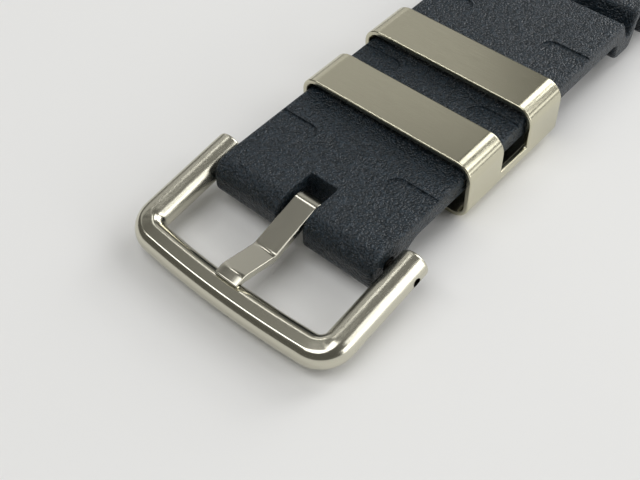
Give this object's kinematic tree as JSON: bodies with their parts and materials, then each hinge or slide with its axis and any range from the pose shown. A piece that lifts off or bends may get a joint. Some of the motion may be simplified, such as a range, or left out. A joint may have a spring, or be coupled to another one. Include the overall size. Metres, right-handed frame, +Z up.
{
  "type": "rubber dive strap, buckle half",
  "caption": "Buckle half of a rubber dive strap: moulded strap with an accordion section, round-bar pin buckle, double steel keeper and spring bars.",
  "frame": {"origin": "on the table, under the middle of the whole piece, with the strap lying top side up", "axes": "+X across the strap, +Y from the buckle to the watch end, +Z up, away from the wrist side"},
  "size_m": [0.0292, 0.0872, 0.0081],
  "materials": {
    "strap_rubber": "fine moulded grain, matt",
    "buckle_steel": "brushed arms, polished front bar",
    "keeper_steel": "brushed, polished corners",
    "bar_steel": "satin"
  },
  "bodies": {
    "strap": {"strap_body": "strap_rubber", "buckle_bar_tube": "bar_steel", "buckle_bar_spring": "bar_steel", "lug_bar_tube": "bar_steel", "lug_bar_spring": "bar_steel"},
    "buckle": {"buckle_frame": "buckle_steel"},
    "tongue": {"buckle_tongue": "buckle_steel"},
    "keeper": {"strap_keeper": "keeper_steel"},
    "buckle_tip_left": {"buckle_bar_tip_left": "bar_steel"},
    "buckle_tip_right": {"buckle_bar_tip_right": "bar_steel"},
    "lug_tip_left": {"lug_bar_tip_left": "bar_steel"},
    "lug_tip_right": {"lug_bar_tip_right": "bar_steel"}
  },
  "joints": [
    {"name": "buckle_hinge", "type": "hinge", "parent": "strap", "child": "buckle", "pos_m": [0, -0.02932, 0.00405], "axis": [-1, 0, 0], "range_deg": [-100, 30]},
    {"name": "tongue_hinge", "type": "hinge", "parent": "buckle", "child": "tongue", "pos_m": [0, -0.02932, 0.00405], "axis": [-1, 0, 0], "range_deg": [0, 90]},
    {"name": "keeper_slide", "type": "slide", "parent": "strap", "child": "keeper", "axis": [0, 1, 0], "range_m": [-0.009, 0.013]},
    {"name": "buckle_tip_left_slide", "type": "slide", "parent": "strap", "child": "buckle_tip_left", "axis": [1, 0, 0], "range_m": [0, 0.0015], "stiffness_N_per_m": 1000, "deforming": ["buckle_bar_spring"]},
    {"name": "buckle_tip_right_slide", "type": "slide", "parent": "strap", "child": "buckle_tip_right", "axis": [-1, 0, 0], "range_m": [0, 0.0015], "stiffness_N_per_m": 1000, "deforming": ["buckle_bar_spring"]},
    {"name": "lug_tip_left_slide", "type": "slide", "parent": "strap", "child": "lug_tip_left", "axis": [1, 0, 0], "range_m": [0, 0.0013], "stiffness_N_per_m": 1500, "deforming": ["lug_bar_spring"]},
    {"name": "lug_tip_right_slide", "type": "slide", "parent": "strap", "child": "lug_tip_right", "axis": [-1, 0, 0], "range_m": [0, 0.0013], "stiffness_N_per_m": 1500, "deforming": ["lug_bar_spring"]}
  ]
}
